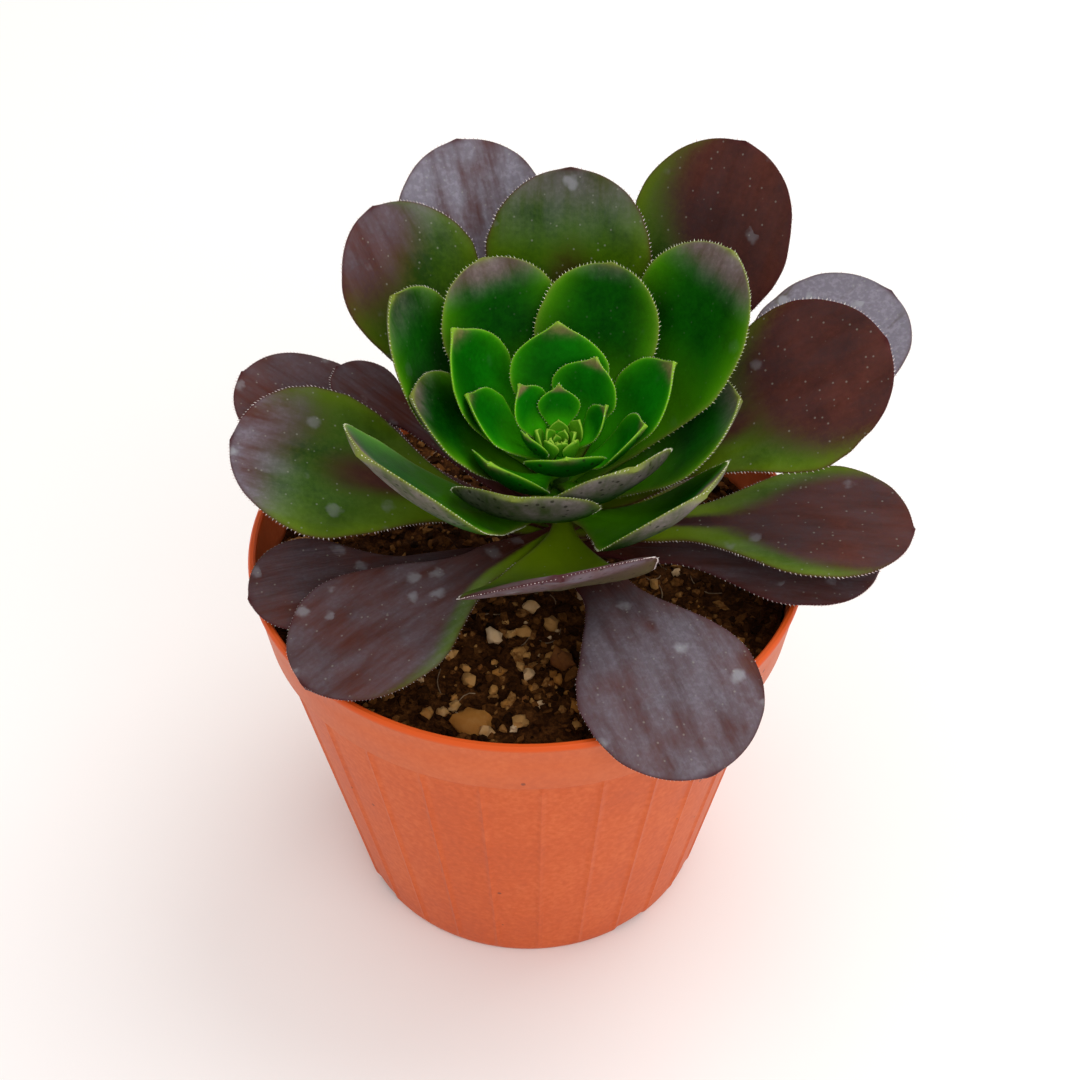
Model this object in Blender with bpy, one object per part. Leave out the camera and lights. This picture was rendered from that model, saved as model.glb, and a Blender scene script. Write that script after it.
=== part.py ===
"""Aeonium-type rosette succulent growing in a thin plastic nursery pot.

Frame: metres, +Z up. The origin is on the pot's axis, at the centre of the underside that it
stands on, and the plant's own front faces -Y. Every leaf, the stem, the growing tip, the potting
mix and the pot is a closed solid of its own.
"""
from math import cos, hypot, pi, radians, sin, sqrt
from typing import NamedTuple

import bmesh
import bpy
from mathutils import Vector

MM = 0.001
GAP = 0.3 * MM

# Nursery pot: a tapered wall, a slightly wider rim band and a thin rolled lip.
POT_HEIGHT = 82.0 * MM
POT_RIM_RADIUS = 52.5 * MM
POT_FOOT_RADIUS = 36.0 * MM
RIM_FLARE = 2.0 * MM
BAND_HEIGHT = 13.0 * MM
BAND_STEP = 1.2 * MM
BAND_FOOT = POT_HEIGHT - BAND_HEIGHT
BAND_RADIUS = POT_RIM_RADIUS - RIM_FLARE
WALL_TOP_RADIUS = BAND_RADIUS - BAND_STEP
WALL = 1.2 * MM
LIP = 1.5 * MM
LIP_WIDEST_BELOW_TOP = 0.9 * MM
LIP_ROUNDING = 0.3 * MM
FLOOR = 1.5 * MM
FOOT_ROUNDING = 0.4 * MM
FOOT_ROUNDING_HEIGHT = 0.8 * MM
RIBS = 28
RIB_PROUD = 0.4 * MM
RIB_HALF_ANGLE = radians(0.9)
RIB_FIRST = radians(-61.0)
NOTCHES = 4
NOTCH_RISE = 1.2 * MM
FOOT_RING_WIDTH = 3.0 * MM

# Potting mix: fills the pot to a little below the rim, heaped slightly round the stem.
SOIL_RIM_LEVEL = 72.4 * MM
SOIL_HEAP = 1.4 * MM
SOIL_LUMP = 0.5 * MM
SOIL_LUMPS_FADE_FROM = 0.6
SOIL_LUMPS_FADE_OVER = 0.32
SOIL_SIDE_GAP = 2.0 * GAP
SOIL_COLUMNS = 40
SOIL_RING_SHARES = (1.0, 0.93, 0.8, 0.62, 0.42, 0.22)

# Stem: short, tapering and leaning a little, with the growing tip on top of it.
STEM_FOOT = Vector((7.5, 1.0, 75.0)) * MM
STEM_LEAN = Vector((-0.06, -0.03, 1.0))
STEM_TOP_LEVEL = 99.5 * MM
STEM_FOOT_RADIUS = 2.8 * MM
STEM_TOP_RADIUS = 1.0 * MM
STEM_END_ROUNDING = 0.4 * MM
STEM_RING_SHARES = (0.0, 0.3, 0.6, 0.85, 1.0)
STEM_SIDES = 14
STEM_FOOT_SAMPLES = 12
BUD_LEVEL = 103.8 * MM
BUD_RADIUS = 1.4 * MM
BUD_HALF_HEIGHT = 3.0 * MM
BUD_RING_LATITUDES = (-60, -30, 0, 25, 50, 70)

# Leaves: each blade is a cupped spoon shape on a narrow stalk, wound round the stem.
LEAF_ROWS = 10
LEAF_ROW_CROWDING = 1.5
LEAF_COLUMNS = 4
LEAF_STEPS = 60

# Each stalk starts this far from the stem's axis at the lowest leaf, and closer further up,
# because the stem tapers.
LEAF_LOWEST_LEVEL = 76.0 * MM
LEAF_CLEARANCE = 4.1 * MM
LEAF_CLEARANCE_TAPER = 0.07

# Outline, as shares of the leaf's own length and width.
LEAF_BASE_WIDTH = 0.12
LEAF_STALK_WIDTH = 0.3
LEAF_STALK_FULL_AT = 0.25
LEAF_BLADE_FROM = 0.12
LEAF_WIDEST_AT = 0.68
LEAF_END_FULLNESS = 2.2
LEAF_ROUND_END = 0.5
LEAF_POINTED_END = 0.4

# A paddle has a round blade: its end is about half a circle, and its shoulders run down to the
# stalk over a length that goes with its width.
PADDLE_END_LENGTH = 0.53
PADDLE_SHOULDER_LENGTH = 0.85
PADDLE_END_FULLNESS = 2.1

# Thickness: fleshy at the stalk, thinner in the blade and thinnest at the end.
LEAF_STALK_THICKNESS = 2.3 * MM
LEAF_STALK_LEAST = 1.0 * MM
LEAF_STALK_PER_LENGTH = 0.03
LEAF_BLADE_THICKNESS = 1.9 * MM
LEAF_BLADE_LEAST = 0.8 * MM
LEAF_BLADE_PER_LENGTH = 0.025
LEAF_BLADE_THICK_UNTIL = 0.45
LEAF_END_THINS_FROM = 0.75
LEAF_END_THINNING = 0.35
LEAF_EDGE_FULLNESS = 2.5

# The cup deepens, the sweep and the roll grow, from the stalk outwards.
LEAF_STALK_CUP = 0.6
LEAF_FULL_CUP_AT = 0.7
LEAF_FULL_ROLL_AT = 0.8
LEAF_SWEEP_POWER = 1.5


class Leaf(NamedTuple):
    """One leaf: angles in degrees, lengths in millimetres.

    heading is seen from above, anticlockwise from +X; level is the height at which the stalk
    leaves the stem; rise is the slope of the stalk and tip_rise the slope of the blade, and the
    slope changes between the shares bend_start and bend_end of the length. point sharpens the
    end, and paddle gives a round blade on a long stalk.
    """
    heading: float
    level: float
    length: float
    width: float
    rise: float
    tip_rise: float
    cup: float = 12.0
    roll: float = 0.0
    sweep: float = 0.0
    bend_start: float = 0.0
    bend_end: float = 1.0
    point: float = 0.0
    paddle: bool = False


# Outer ring: long-stalked mature leaves, the lowest lying nearly flat over the rim.
OUTER_LEAVES = (
    Leaf(-69, 80.0, 60, 32, 20, -20, cup=8, roll=4, sweep=4, paddle=True),
    Leaf(221, 83.9, 57, 30, 8, -10, cup=10, paddle=True),
    Leaf(199, 78.3, 57, 22, 9, 2, roll=-8, paddle=True),
    Leaf(-11, 78.8, 55, 28, 10, 0, paddle=True),
    Leaf(-9, 83.3, 61, 31, 13, 3, paddle=True),
    Leaf(33, 80.2, 78, 32, 15, 27, roll=8, paddle=True),
    Leaf(6, 86.0, 65, 33, 35, 34, roll=24, paddle=True),
    Leaf(52, 83.8, 78, 34, 25, 58, bend_end=0.6, paddle=True),
    Leaf(88, 88.5, 62, 31, 36, 66, bend_end=0.8, paddle=True),
    Leaf(112, 81.5, 76, 31, 30, 54, bend_end=0.6, paddle=True),
    Leaf(136, 86.9, 65, 31, 30, 51, bend_end=0.6, paddle=True),
    Leaf(161, 79.5, 66, 31, 14, 29, paddle=True),
    Leaf(178, 82.1, 61, 33, 22, 18, roll=-14, paddle=True),
    Leaf(150, 84.4, 50, 14, 19, 22, paddle=True),
    Leaf(-92, 87.3, 48, 35, -4, 46, cup=4, roll=13, bend_start=0.1, bend_end=0.5, paddle=True),
)

# Middle ring: shorter, more upright leaves that cup round the heart.
MIDDLE_LEAVES = (
    Leaf(155, 90.4, 49, 26, 27, 69, cup=25, roll=4, bend_end=0.9),
    Leaf(119, 92.4, 44, 26, 40, 62, cup=25),
    Leaf(70, 94.5, 40, 24, 44, 60, cup=24),
    Leaf(32, 92.5, 53, 31, 33, 63, cup=22, bend_end=0.8),
    Leaf(2, 90.2, 37, 25, 30, 50, cup=25),
    Leaf(-43, 88.8, 38, 30, 18, 58, cup=20),
    Leaf(219, 90.0, 54, 31, 24, 58, cup=20),
    Leaf(181, 93.2, 33, 24, 37, 50, cup=25),
    Leaf(-60, 96.0, 29, 25, 22, 65, cup=25),
    Leaf(-110, 94.0, 30, 27, 16, 62, cup=25, roll=8),
)

# Heart: small pointed leaves, nearly closed over the growing tip.
INNER_LEAVES = (
    Leaf(152, 96.0, 33, 19, 32, 68, cup=30, point=0.6, bend_end=0.8),
    Leaf(92, 97.0, 26, 19, 50, 70, cup=30, point=0.6),
    Leaf(18, 96.3, 28, 18, 38, 60, cup=30, point=0.6),
    Leaf(174, 100.0, 20, 14, 31, 58, cup=30, point=0.6),
    Leaf(230, 98.5, 22, 17, 15, 62, cup=30, point=0.6),
    Leaf(-16, 99.5, 18, 14, 28, 60, cup=30, point=0.6),
    Leaf(-85, 102.5, 14, 15, 10, 70, cup=30, point=0.6),
    Leaf(57, 100.6, 18, 14, 47, 69, cup=30, point=0.6),
    Leaf(146, 102.5, 13, 10, 48, 74, cup=30, point=0.6),
    Leaf(90, 103.5, 10, 8, 55, 75, cup=30, point=0.6),
    Leaf(12, 102.5, 11, 8, 38, 72, cup=30, point=0.6),
    Leaf(219, 103.0, 9, 7.5, 35, 72, cup=30, point=0.6),
)


def clear_scene():
    for obj in list(bpy.data.objects):
        bpy.data.objects.remove(obj, do_unlink=True)


def smooth_step(share):
    share = min(max(share, 0.0), 1.0)
    return share * share * (3.0 - 2.0 * share)


def make_material(name, colour, roughness):
    material = bpy.data.materials.new(name)
    material.use_nodes = True
    shader = material.node_tree.nodes["Principled BSDF"]
    shader.inputs["Base Color"].default_value = (*colour, 1.0)
    shader.inputs["Roughness"].default_value = roughness
    shader.inputs["Metallic"].default_value = 0.0
    return material


def make_object(name, shape, material):
    """Turn a finished bmesh into a named object with smooth round faces."""
    bmesh.ops.recalc_face_normals(shape, faces=shape.faces)
    mesh = bpy.data.meshes.new(name)
    shape.to_mesh(mesh)
    shape.free()
    mesh.shade_smooth()
    mesh.set_sharp_from_angle(angle=radians(40))
    mesh.materials.append(material)
    obj = bpy.data.objects.new(name, mesh)
    bpy.context.scene.collection.objects.link(obj)
    return obj


def bridge(shape, lower, upper):
    """Join two rings of equal length with quads."""
    count = len(lower)
    for index in range(count):
        after = (index + 1) % count
        shape.faces.new((lower[index], lower[after], upper[after], upper[index]))


def fan(shape, ring, centre):
    """Close a ring with triangles that meet at one point."""
    hub = shape.verts.new(centre)
    for index, corner in enumerate(ring):
        shape.faces.new((corner, ring[(index + 1) % len(ring)], hub))


def round_body(rings, bottom, top):
    """A closed body from rings of points, listed upwards, with a point at each end."""
    shape = bmesh.new()
    rows = [[shape.verts.new(point) for point in ring] for ring in rings]
    for lower, upper in zip(rows, rows[1:]):
        bridge(shape, lower, upper)
    fan(shape, rows[0], bottom)
    fan(shape, rows[-1], top)
    return shape


def pot_wall_radius(height):
    """Outer radius of the tapered wall below the rim band."""
    return POT_FOOT_RADIUS + (WALL_TOP_RADIUS - POT_FOOT_RADIUS) * height / BAND_FOOT


def pot_columns():
    """Angles round the pot: three to each rib, with how proud of the wall each one stands."""
    columns = []
    for rib in range(RIBS):
        middle = RIB_FIRST + rib * 2.0 * pi / RIBS
        columns.append((middle - RIB_HALF_ANGLE, 0.0, rib))
        columns.append((middle, RIB_PROUD, rib))
        columns.append((middle + RIB_HALF_ANGLE, 0.0, rib))
    return columns


def in_notch(rib, is_after_middle):
    """Each notch in the foot spans the gap from one rib to the next."""
    spacing = RIBS // NOTCHES
    return rib % spacing == (0 if is_after_middle else 1)


def make_pot(material):
    ledge_under = BAND_FOOT - BAND_STEP
    # Outer profile going up: radius, height and whether the ribs stand on it.
    outer = [
        (POT_FOOT_RADIUS - FOOT_ROUNDING, 0.0, False),
        (pot_wall_radius(FOOT_ROUNDING_HEIGHT), FOOT_ROUNDING_HEIGHT, True),
        (pot_wall_radius(BAND_FOOT / 2.0), BAND_FOOT / 2.0, True),
        (pot_wall_radius(ledge_under), ledge_under, True),
        (BAND_RADIUS, BAND_FOOT, False),
        (POT_RIM_RADIUS - LIP_ROUNDING, POT_HEIGHT - LIP, False),
        (POT_RIM_RADIUS, POT_HEIGHT - LIP_WIDEST_BELOW_TOP, False),
        (POT_RIM_RADIUS - LIP_ROUNDING, POT_HEIGHT, False),
    ]
    # Inner profile going down again to the floor of the pot.
    inner = [
        (POT_RIM_RADIUS - LIP, POT_HEIGHT, False),
        (POT_RIM_RADIUS - LIP - LIP_ROUNDING, POT_HEIGHT - LIP, False),
        (BAND_RADIUS - WALL, BAND_FOOT + WALL / 2.0, False),
        (WALL_TOP_RADIUS - WALL, ledge_under, False),
        (POT_FOOT_RADIUS - WALL, FLOOR, False),
    ]
    columns = pot_columns()
    rings = [[Vector(((POT_FOOT_RADIUS - FOOT_RING_WIDTH) * cos(angle),
                      (POT_FOOT_RADIUS - FOOT_RING_WIDTH) * sin(angle), 0.0))
              for angle, _, _ in columns]]
    for row, (radius, height, has_ribs) in enumerate(outer + inner):
        ring = []
        for column, (angle, proud, rib) in enumerate(columns):
            reach = radius + (proud if has_ribs else 0.0)
            lift = 0.0
            if row < 2 and proud == 0.0 and in_notch(rib, column % 3 == 2):
                lift = NOTCH_RISE
            ring.append(Vector((reach * cos(angle), reach * sin(angle), height + lift)))
        rings.append(ring)
    shape = round_body(rings, Vector((0.0, 0.0, 0.0)), Vector((0.0, 0.0, FLOOR)))
    return make_object("nursery_pot", shape, material)


def soil_surface(x, y):
    """Height of the potting mix: a low heap with a few soft lumps."""
    radius = hypot(x, y) / POT_RIM_RADIUS
    lumps = sin(130.0 * x + 0.7) * cos(150.0 * y - 0.4) + 0.6 * sin(240.0 * x - 190.0 * y)
    fade = 1.0 - smooth_step((radius - SOIL_LUMPS_FADE_FROM) / SOIL_LUMPS_FADE_OVER)
    return SOIL_RIM_LEVEL + SOIL_HEAP * (1.0 - radius * radius) + SOIL_LUMP * lumps * fade


def make_soil(material):
    inset = WALL + SOIL_SIDE_GAP
    foot_level = FLOOR + GAP
    foot_radius = POT_FOOT_RADIUS - inset
    ledge_level = BAND_FOOT - BAND_STEP - GAP
    ledge_radius = pot_wall_radius(ledge_level) - inset
    band_radius = BAND_RADIUS - inset
    angles = [2.0 * pi * step / SOIL_COLUMNS for step in range(SOIL_COLUMNS)]
    rings = []
    for radius, height in ((foot_radius, foot_level), (ledge_radius, ledge_level),
                           (band_radius, BAND_FOOT + WALL)):
        rings.append([Vector((radius * cos(a), radius * sin(a), height)) for a in angles])
    for share in SOIL_RING_SHARES:
        radius = band_radius * share
        ring = []
        for angle in angles:
            x = radius * cos(angle)
            y = radius * sin(angle)
            ring.append(Vector((x, y, soil_surface(x, y))))
        rings.append(ring)
    shape = round_body(rings, Vector((0.0, 0.0, foot_level)),
                       Vector((0.0, 0.0, soil_surface(0.0, 0.0))))
    return make_object("potting_mix", shape, material)


def stem_axis(level):
    return STEM_FOOT + STEM_LEAN * (level - STEM_FOOT.z)


def make_stem(material):
    foot_level = max(soil_surface(STEM_FOOT.x + STEM_FOOT_RADIUS * cos(a),
                                  STEM_FOOT.y + STEM_FOOT_RADIUS * sin(a))
                     for a in [2.0 * pi * step / STEM_FOOT_SAMPLES
                               for step in range(STEM_FOOT_SAMPLES)]) + GAP
    rings = []
    for share in STEM_RING_SHARES:
        level = foot_level + share * (STEM_TOP_LEVEL - foot_level)
        radius = STEM_FOOT_RADIUS + share * (STEM_TOP_RADIUS - STEM_FOOT_RADIUS)
        centre = stem_axis(level)
        rings.append([centre + Vector((radius * cos(2.0 * pi * k / STEM_SIDES),
                                       radius * sin(2.0 * pi * k / STEM_SIDES), 0.0))
                      for k in range(STEM_SIDES)])
    shape = round_body(rings, stem_axis(foot_level), stem_axis(STEM_TOP_LEVEL + STEM_END_ROUNDING))
    return make_object("stem", shape, material)


def make_bud(material):
    centre = stem_axis(BUD_LEVEL)
    rings = []
    for latitude in BUD_RING_LATITUDES:
        radius = BUD_RADIUS * cos(radians(latitude))
        height = BUD_HALF_HEIGHT * sin(radians(latitude))
        rings.append([centre + Vector((radius * cos(2.0 * pi * k / STEM_SIDES),
                                       radius * sin(2.0 * pi * k / STEM_SIDES), height))
                      for k in range(STEM_SIDES)])
    tip = Vector((0.0, 0.0, BUD_HALF_HEIGHT))
    shape = round_body(rings, centre - tip, centre + tip)
    return make_object("growing_tip", shape, material)


def leaf_half_width(leaf, share):
    """Half width along the leaf: a narrow base, a stalk, the blade and a rounded end."""
    blade_from = LEAF_BLADE_FROM
    widest_at = LEAF_WIDEST_AT
    fullness = LEAF_END_FULLNESS
    if leaf.paddle:
        widest_at = 1.0 - PADDLE_END_LENGTH * leaf.width / leaf.length
        blade_from = widest_at - PADDLE_SHOULDER_LENGTH * leaf.width / leaf.length
        fullness = PADDLE_END_FULLNESS
    if share < widest_at:
        stalk_growth = smooth_step(share / LEAF_STALK_FULL_AT)
        blade_growth = smooth_step((share - blade_from) / (widest_at - blade_from))
        outline = (LEAF_BASE_WIDTH + (LEAF_STALK_WIDTH - LEAF_BASE_WIDTH) * stalk_growth
                   + (1.0 - LEAF_STALK_WIDTH) * blade_growth)
    else:
        beyond = (share - widest_at) / (1.0 - widest_at)
        taper = LEAF_ROUND_END + LEAF_POINTED_END * leaf.point
        outline = max(1.0 - beyond ** fullness, 0.0) ** taper
    return outline * leaf.width * MM / 2.0


def leaf_thickness(leaf, share):
    """Thickness at the midrib; short leaves are thinner all over than long ones."""
    length = leaf.length * MM
    stalk = min(LEAF_STALK_THICKNESS, LEAF_STALK_LEAST + LEAF_STALK_PER_LENGTH * length)
    blade = min(LEAF_BLADE_THICKNESS, LEAF_BLADE_LEAST + LEAF_BLADE_PER_LENGTH * length)
    thickness = stalk + (blade - stalk) * smooth_step(share / LEAF_BLADE_THICK_UNTIL)
    end = smooth_step((share - LEAF_END_THINS_FROM) / (1.0 - LEAF_END_THINS_FROM))
    return thickness * (1.0 - LEAF_END_THINNING * end)


def leaf_frame(leaf, share):
    """Directions at a share of the length: along the leaf, to its left, and out of its face."""
    slope = radians(leaf.rise + (leaf.tip_rise - leaf.rise)
                    * smooth_step((share - leaf.bend_start) / (leaf.bend_end - leaf.bend_start)))
    heading = radians(leaf.heading + leaf.sweep * share ** LEAF_SWEEP_POWER)
    along = Vector((cos(slope) * cos(heading), cos(slope) * sin(heading), sin(slope)))
    left = Vector((-sin(heading), cos(heading), 0.0))
    face = along.cross(left)
    roll = radians(leaf.roll) * smooth_step(share / LEAF_FULL_ROLL_AT)
    rolled_left = left * cos(roll) + face * sin(roll)
    rolled_face = face * cos(roll) - left * sin(roll)
    return along, rolled_left, rolled_face


def leaf_midrib(leaf):
    """Points along the midrib, from the stem outwards, at LEAF_STEPS equal steps."""
    level = leaf.level * MM
    clearance = LEAF_CLEARANCE - LEAF_CLEARANCE_TAPER * (level - LEAF_LOWEST_LEVEL)
    heading = radians(leaf.heading)
    point = stem_axis(level) + clearance * Vector((cos(heading), sin(heading), 0.0))
    points = [point]
    for step in range(LEAF_STEPS):
        along, _, _ = leaf_frame(leaf, (step + 0.5) / LEAF_STEPS)
        point = point + along * (leaf.length * MM / LEAF_STEPS)
        points.append(point)
    return points


def leaf_ring(leaf, share, centre):
    """One closed cross-section: the upper face from right to left, then the lower face back."""
    _, left, face = leaf_frame(leaf, share)
    half_width = leaf_half_width(leaf, share)
    thickness = leaf_thickness(leaf, share)
    deepening = smooth_step(share / LEAF_FULL_CUP_AT)
    arc = radians(leaf.cup) * (LEAF_STALK_CUP + (1.0 - LEAF_STALK_CUP) * deepening)
    upper = []
    lower = []
    for column in range(LEAF_COLUMNS + 1):
        across = 2.0 * column / LEAF_COLUMNS - 1.0
        middle = (centre + left * (half_width * sin(arc * across) / arc)
                  + face * (half_width * (1.0 - cos(arc * across)) / arc))
        half_thickness = 0.5 * thickness * sqrt(1.0 - abs(across) ** LEAF_EDGE_FULLNESS)
        upper.append(middle + face * half_thickness)
        lower.append(middle - face * half_thickness)
    return upper + lower[-2:0:-1]


def make_leaf(name, leaf, material):
    midrib = leaf_midrib(leaf)
    rings = []
    for row in range(LEAF_ROWS):
        share = 1.0 - (1.0 - row / LEAF_ROWS) ** LEAF_ROW_CROWDING
        position = share * LEAF_STEPS
        step = min(int(position), LEAF_STEPS - 1)
        centre = midrib[step].lerp(midrib[step + 1], position - step)
        rings.append(leaf_ring(leaf, share, centre))
    shape = round_body(rings, midrib[0], midrib[-1])
    return make_object(name, shape, material)


clear_scene()
make_pot(make_material("terracotta_plastic", (0.60, 0.13, 0.05), 0.5))
make_soil(make_material("potting_mix", (0.035, 0.018, 0.010), 0.95))
make_stem(make_material("stem_bark", (0.12, 0.07, 0.04), 0.8))
make_bud(make_material("bud_green", (0.30, 0.50, 0.08), 0.5))
LEAF_GROUPS = (
    ("outer_leaf", OUTER_LEAVES, (0.11, 0.06, 0.09), 0.45),
    ("middle_leaf", MIDDLE_LEAVES, (0.05, 0.22, 0.03), 0.4),
    ("inner_leaf", INNER_LEAVES, (0.03, 0.25, 0.02), 0.4),
)
for group, leaves, colour, roughness in LEAF_GROUPS:
    group_material = make_material(group, colour, roughness)
    for number, leaf in enumerate(leaves, start=1):
        make_leaf(f"{group}_{number:02d}", leaf, group_material)
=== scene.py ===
"""Rosette succulent in a thin plastic nursery pot: the looks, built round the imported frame.

Metres, +Z up, the pot standing at the origin and the plant's own front facing -Y.
"""
from math import acos, atan2, cos, exp, hypot, pi, radians, sin, sqrt
from random import Random
from typing import NamedTuple

import bpy
import numpy as np
from mathutils import Euler, Matrix, Vector, noise


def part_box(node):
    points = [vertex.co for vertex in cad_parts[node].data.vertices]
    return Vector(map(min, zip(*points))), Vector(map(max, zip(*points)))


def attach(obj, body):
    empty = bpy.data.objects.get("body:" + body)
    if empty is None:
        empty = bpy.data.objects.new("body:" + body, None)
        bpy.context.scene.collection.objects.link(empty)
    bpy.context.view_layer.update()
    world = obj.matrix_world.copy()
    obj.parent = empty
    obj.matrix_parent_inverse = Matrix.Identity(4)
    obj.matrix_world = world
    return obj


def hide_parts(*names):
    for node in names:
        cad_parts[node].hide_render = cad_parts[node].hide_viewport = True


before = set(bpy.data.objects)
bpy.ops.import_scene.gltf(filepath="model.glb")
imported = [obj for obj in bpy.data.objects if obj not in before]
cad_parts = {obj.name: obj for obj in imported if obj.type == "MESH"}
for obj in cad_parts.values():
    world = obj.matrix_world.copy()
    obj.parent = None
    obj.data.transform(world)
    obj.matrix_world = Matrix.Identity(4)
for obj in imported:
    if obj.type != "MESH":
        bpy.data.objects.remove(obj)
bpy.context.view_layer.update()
MM = 0.001


# --------------------
# Studio: a plain pale floor under a wide soft light from above on the right, a weaker one from
# the front right, and bright walls all round. The camera looks down from the front.
# --------------------
def deselect_all():
    if bpy.context.object and bpy.context.object.mode != "OBJECT":
        bpy.ops.object.mode_set(mode="OBJECT")
    bpy.ops.object.select_all(action="DESELECT")


def new_material(name):
    """A material with its node tree and its main shader, ready for a pattern."""
    material = bpy.data.materials.new(name)
    material.use_nodes = True
    return material, material.node_tree, material.node_tree.nodes["Principled BSDF"]


def add_node(tree, kind, settings=None, **inputs):
    """One node; an input is given a socket to link from, or a value."""
    made = tree.nodes.new(kind)
    for setting, value in (settings or {}).items():
        setattr(made, setting, value)
    for label, value in inputs.items():
        socket = made.inputs[int(label[1:])] if label[1:].isdigit() else made.inputs[label]
        if isinstance(value, bpy.types.NodeSocket):
            tree.links.new(value, socket)
        else:
            socket.default_value = value
    return made


def object_place(tree):
    return add_node(tree, "ShaderNodeTexCoord").outputs["Object"]


def maths(tree, operation, first, second=0.0, third=0.0):
    made = add_node(tree, "ShaderNodeMath", {"operation": operation},
                    i0=first, i1=second, i2=third)
    return made.outputs[0]


def stretch(tree, value, low, high):
    """Value from 0 at low to 1 at high, clamped and eased."""
    made = add_node(tree, "ShaderNodeMapRange", {"interpolation_type": "SMOOTHSTEP"},
                    i0=value, i1=low, i2=high)
    return made.outputs[0]


def ramp(tree, value, stops):
    made = add_node(tree, "ShaderNodeValToRGB", Fac=value)
    elements = made.color_ramp.elements
    for _ in range(len(stops) - 2):
        elements.new(0.5)
    for element, (place, colour) in zip(elements, stops):
        element.position = place
        element.color = (*colour, 1.0)
    return made.outputs[0]


def cloud(tree, place, scale, detail=3.0, roughness=0.55):
    made = add_node(tree, "ShaderNodeTexNoise", Vector=place, Scale=scale, Detail=detail,
                    Roughness=roughness)
    return made.outputs[0]


aim = Vector((2.4, 0.0, 81.2)) * MM
look_down = radians(42.7)
camera_distance = 340.4 * MM
deselect_all()
bpy.ops.object.camera_add(
    location=aim + camera_distance * Vector((0.0, -cos(look_down), sin(look_down))),
    rotation=(pi / 2.0 - look_down, 0.0, 0.0))
camera = bpy.context.object
camera.data.lens = 60.0
camera.data.sensor_width = 36.0
camera.data.clip_start = 0.01
bpy.context.scene.camera = camera
bpy.context.scene.view_settings.view_transform = "Standard"

floor_radius = 4.0
deselect_all()
bpy.ops.mesh.primitive_circle_add(vertices=96, radius=floor_radius, fill_type="NGON")
floor = bpy.context.object
floor.name = "floor"
paper, tree, shader = new_material("backdrop_paper")
place = object_place(tree)
# Painted bounce light: the floor's tint turns a touch paler and pinker towards the front, standing
# in for warm light bounced off the pot.
near_side = add_node(tree, "ShaderNodeSeparateXYZ", Vector=place).outputs["Y"]
grain = cloud(tree, place, 9.0)
tone = maths(tree, "MULTIPLY_ADD", grain, 0.02, near_side)
tree.links.new(ramp(tree, stretch(tree, tone, -0.16, 0.10),
                    [(0.0, (0.96, 0.940, 0.935)), (1.0, (0.94, 0.925, 0.91))]),
               shader.inputs["Base Color"])
shader.inputs["Roughness"].default_value = 0.85
shader.inputs["Specular IOR Level"].default_value = 0.2
floor.data.materials.append(paper)

if bpy.context.scene.world is None:
    bpy.context.scene.world = bpy.data.worlds.new("studio_walls")
walls = bpy.context.scene.world
walls.use_nodes = True
walls.node_tree.nodes["Background"].inputs["Color"].default_value = (1.0, 0.985, 0.975, 1.0)
walls.node_tree.nodes["Background"].inputs["Strength"].default_value = 0.80


def soft_light(name, position, width, power, colour):
    position = Vector(position)
    facing = (position - aim).to_track_quat("Z", "Y").to_euler()
    bpy.ops.object.light_add(type="AREA", location=position, rotation=facing)
    light = bpy.context.object
    light.name = name
    light.data.shape = "DISK"
    light.data.size = width
    light.data.energy = power
    light.data.color = colour


soft_light("key_light", (0.40, 0.35, 0.95), width=0.8, power=4.2, colour=(1.0, 0.985, 0.96))
soft_light("fill_light", (0.40, -0.70, 0.70), width=0.9, power=2.8, colour=(1.0, 0.98, 0.97))


# --------------------
# Nursery pot: one thin injection-moulded shell of terracotta-coloured plastic. The wall tapers,
# 28 fine ribs stiffen it, a smooth band stands out under the lip, and the foot has four shallow
# notches that let water out. Turned here from its profile, ring by ring.
# --------------------
def smooth_step(share):
    share = min(max(share, 0.0), 1.0)
    return share * share * (3.0 - 2.0 * share)


def times(tree, first, second):
    return maths(tree, "MULTIPLY", first, second)


def blend_colours(tree, share, under, over):
    made = add_node(tree, "ShaderNodeMix", {"data_type": "RGBA"}, i0=share, i6=under, i7=over)
    return made.outputs[2]


def roughen(tree, shader, height, strength, depth):
    """Give the surface a fine relief; depth is its height in metres."""
    made = add_node(tree, "ShaderNodeBump", Strength=strength, Distance=depth, Height=height)
    tree.links.new(made.outputs[0], shader.inputs["Normal"])


def turn_profile(name, sides, profile):
    """Extrude a circle from one radius and height to the next, and close both ends."""
    deselect_all()
    radius, height = profile[0]
    bpy.ops.mesh.primitive_circle_add(vertices=sides, radius=radius, location=(0, 0, height))
    piece = bpy.context.object
    piece.name = name
    bpy.ops.object.transform_apply(location=True, rotation=True, scale=True)
    bpy.ops.object.mode_set(mode="EDIT")
    bpy.ops.mesh.select_all(action="SELECT")
    for next_radius, next_height in profile[1:]:
        grow = next_radius / radius
        bpy.ops.mesh.extrude_edges_move(
            TRANSFORM_OT_translate={"value": (0.0, 0.0, next_height - height)})
        bpy.ops.transform.resize(value=(grow, grow, 1.0), center_override=(0.0, 0.0, 0.0))
        radius, height = next_radius, next_height
    bpy.ops.mesh.select_all(action="SELECT")
    bpy.ops.mesh.fill_holes(sides=0)
    bpy.ops.mesh.normals_make_consistent(inside=False)
    bpy.ops.object.mode_set(mode="OBJECT")
    return piece


def finish_piece(piece, material, nodes=(), smooth_angle=35.0):
    """Smooth the round faces, give the material and tie the piece to the frame."""
    deselect_all()
    piece.select_set(True)
    bpy.context.view_layer.objects.active = piece
    bpy.ops.object.shade_smooth_by_angle(angle=radians(smooth_angle))
    piece.data.materials.clear()
    piece.data.materials.append(material)
    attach(piece, "root")
    if nodes:
        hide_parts(*nodes)


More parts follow.
